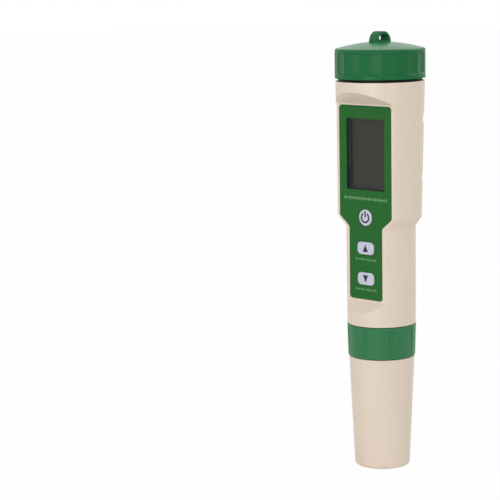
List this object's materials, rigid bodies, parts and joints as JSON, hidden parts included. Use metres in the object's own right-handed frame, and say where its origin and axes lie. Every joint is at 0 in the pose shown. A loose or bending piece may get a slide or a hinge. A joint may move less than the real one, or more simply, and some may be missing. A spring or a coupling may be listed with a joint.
{
  "type": "water quality test pen",
  "caption": "Pocket meter for water: tapered pen body with a flat front, screen and keys, screw-off battery cap, lock ring and pull-off probe cover.",
  "frame": {"origin": "centre of the probe cover's closed end, on the surface that the pen stands on", "axes": "+Z along the pen towards the battery cap, -Y out of the display, +X to the right of someone who reads the display"},
  "size_m": [0.038, 0.038, 0.1857],
  "materials": {
    "body_plastic": "fine satin moulded plastic",
    "green_plastic": "satin moulded plastic",
    "label_film": "printed polyester film",
    "clear_pane": "clear polished plastic",
    "bezel_black": "dull black plastic",
    "lcd_grey": "dark grey liquid crystal glass",
    "pin_metal": "tinned clip pins",
    "light_guide": "milky light guide",
    "board_green": "solder mask",
    "chip_black": "moulded chip package",
    "crystal_can": "drawn metal can",
    "capacitor_tan": "fired ceramic",
    "switch_black": "moulded switch body",
    "key_rubber": "soft satin silicone",
    "seal_rubber": "black seal rubber",
    "holder_black": "moulded black plastic",
    "cell_steel": "drawn steel can",
    "spring_steel": "plated spring steel",
    "gold_contact": "gold plated contact",
    "screw_steel": "plated screw",
    "sensor_black": "dull black plastic",
    "bulb_glass": "blown electrode glass",
    "rod_glass": "glass rod",
    "silver_wire": "dull silver wire",
    "junction_white": "porous white junction",
    "platinum_band": "polished noble metal",
    "probe_steel": "polished stainless steel",
    "sponge_foam": "open cell foam"
  },
  "bodies": {
    "housing": {"main_housing": "body_plastic", "front_label": "label_film", "display_window": "clear_pane", "display_bezel": "bezel_black", "lcd_panel": "lcd_grey", "lcd_pins": "pin_metal", "lcd_backlight": "light_guide", "circuit_board": "board_green", "controller_chip": "chip_black", "amplifier_chips": "chip_black", "clock_crystal": "crystal_can", "chip_capacitors": "capacitor_tan", "key_switches": "switch_black", "threaded_collar": "body_plastic", "cap_seal": "seal_rubber", "battery_holder": "holder_black", "button_cells": "cell_steel", "battery_springs": "spring_steel", "contact_strips": "gold_contact", "sensor_socket": "holder_black", "socket_leads": "gold_contact"},
    "contact_plate": {"contact_plate": "spring_steel"},
    "battery_cap": {"battery_cap": "green_plastic", "plate_screw": "screw_steel"},
    "sensor_module": {"sensor_body": "sensor_black", "sensor_pins": "gold_contact", "module_seal": "seal_rubber", "cover_seal": "seal_rubber", "sensor_guard": "sensor_black", "ph_bulb": "bulb_glass", "bulb_wire": "silver_wire", "reference_junction": "junction_white", "redox_rod": "rod_glass", "redox_band": "platinum_band", "conductivity_pins": "probe_steel", "temperature_probe": "probe_steel"},
    "lock_ring": {"lock_ring": "green_plastic"},
    "probe_cover": {"probe_cover": "body_plastic", "storage_sponge": "sponge_foam"},
    "power_key": {"power_key": "key_rubber", "power_plunger": "switch_black"},
    "up_key": {"up_key": "key_rubber", "up_plunger": "switch_black"},
    "down_key": {"down_key": "key_rubber", "down_plunger": "switch_black"}
  },
  "joints": [
    {"name": "cap_lift", "type": "slide", "parent": "housing", "child": "contact_plate", "axis": [0, 0, 1], "range_m": [0, 0.009]},
    {"name": "cap_turn", "type": "hinge", "parent": "contact_plate", "child": "battery_cap", "pos_m": [0, 0, 0.17], "axis": [0, 0, 1], "range_deg": [0, 1080]},
    {"name": "sensor_draw", "type": "slide", "parent": "housing", "child": "sensor_module", "axis": [0, 0, -1], "range_m": [0, 0.009]},
    {"name": "ring_turn", "type": "hinge", "parent": "sensor_module", "child": "lock_ring", "pos_m": [0, 0, 0.055], "axis": [0, 0, -1], "range_deg": [0, 1080]},
    {"name": "cover_pull", "type": "slide", "parent": "sensor_module", "child": "probe_cover", "axis": [0, 0, -1], "range_m": [0, 0.04]},
    {"name": "power_key_press", "type": "slide", "parent": "housing", "child": "power_key", "axis": [0, 1, 0], "range_m": [0, 0.0004], "stiffness_N_per_m": 2500},
    {"name": "up_key_press", "type": "slide", "parent": "housing", "child": "up_key", "axis": [0, 1, 0], "range_m": [0, 0.0004], "stiffness_N_per_m": 2500},
    {"name": "down_key_press", "type": "slide", "parent": "housing", "child": "down_key", "axis": [0, 1, 0], "range_m": [0, 0.0004], "stiffness_N_per_m": 2500}
  ],
  "couplings": [
    {"joint": "cap_lift", "follows": "cap_turn", "m_per_rad": 0.00047746},
    {"joint": "sensor_draw", "follows": "ring_turn", "m_per_rad": 0.00047746}
  ]
}
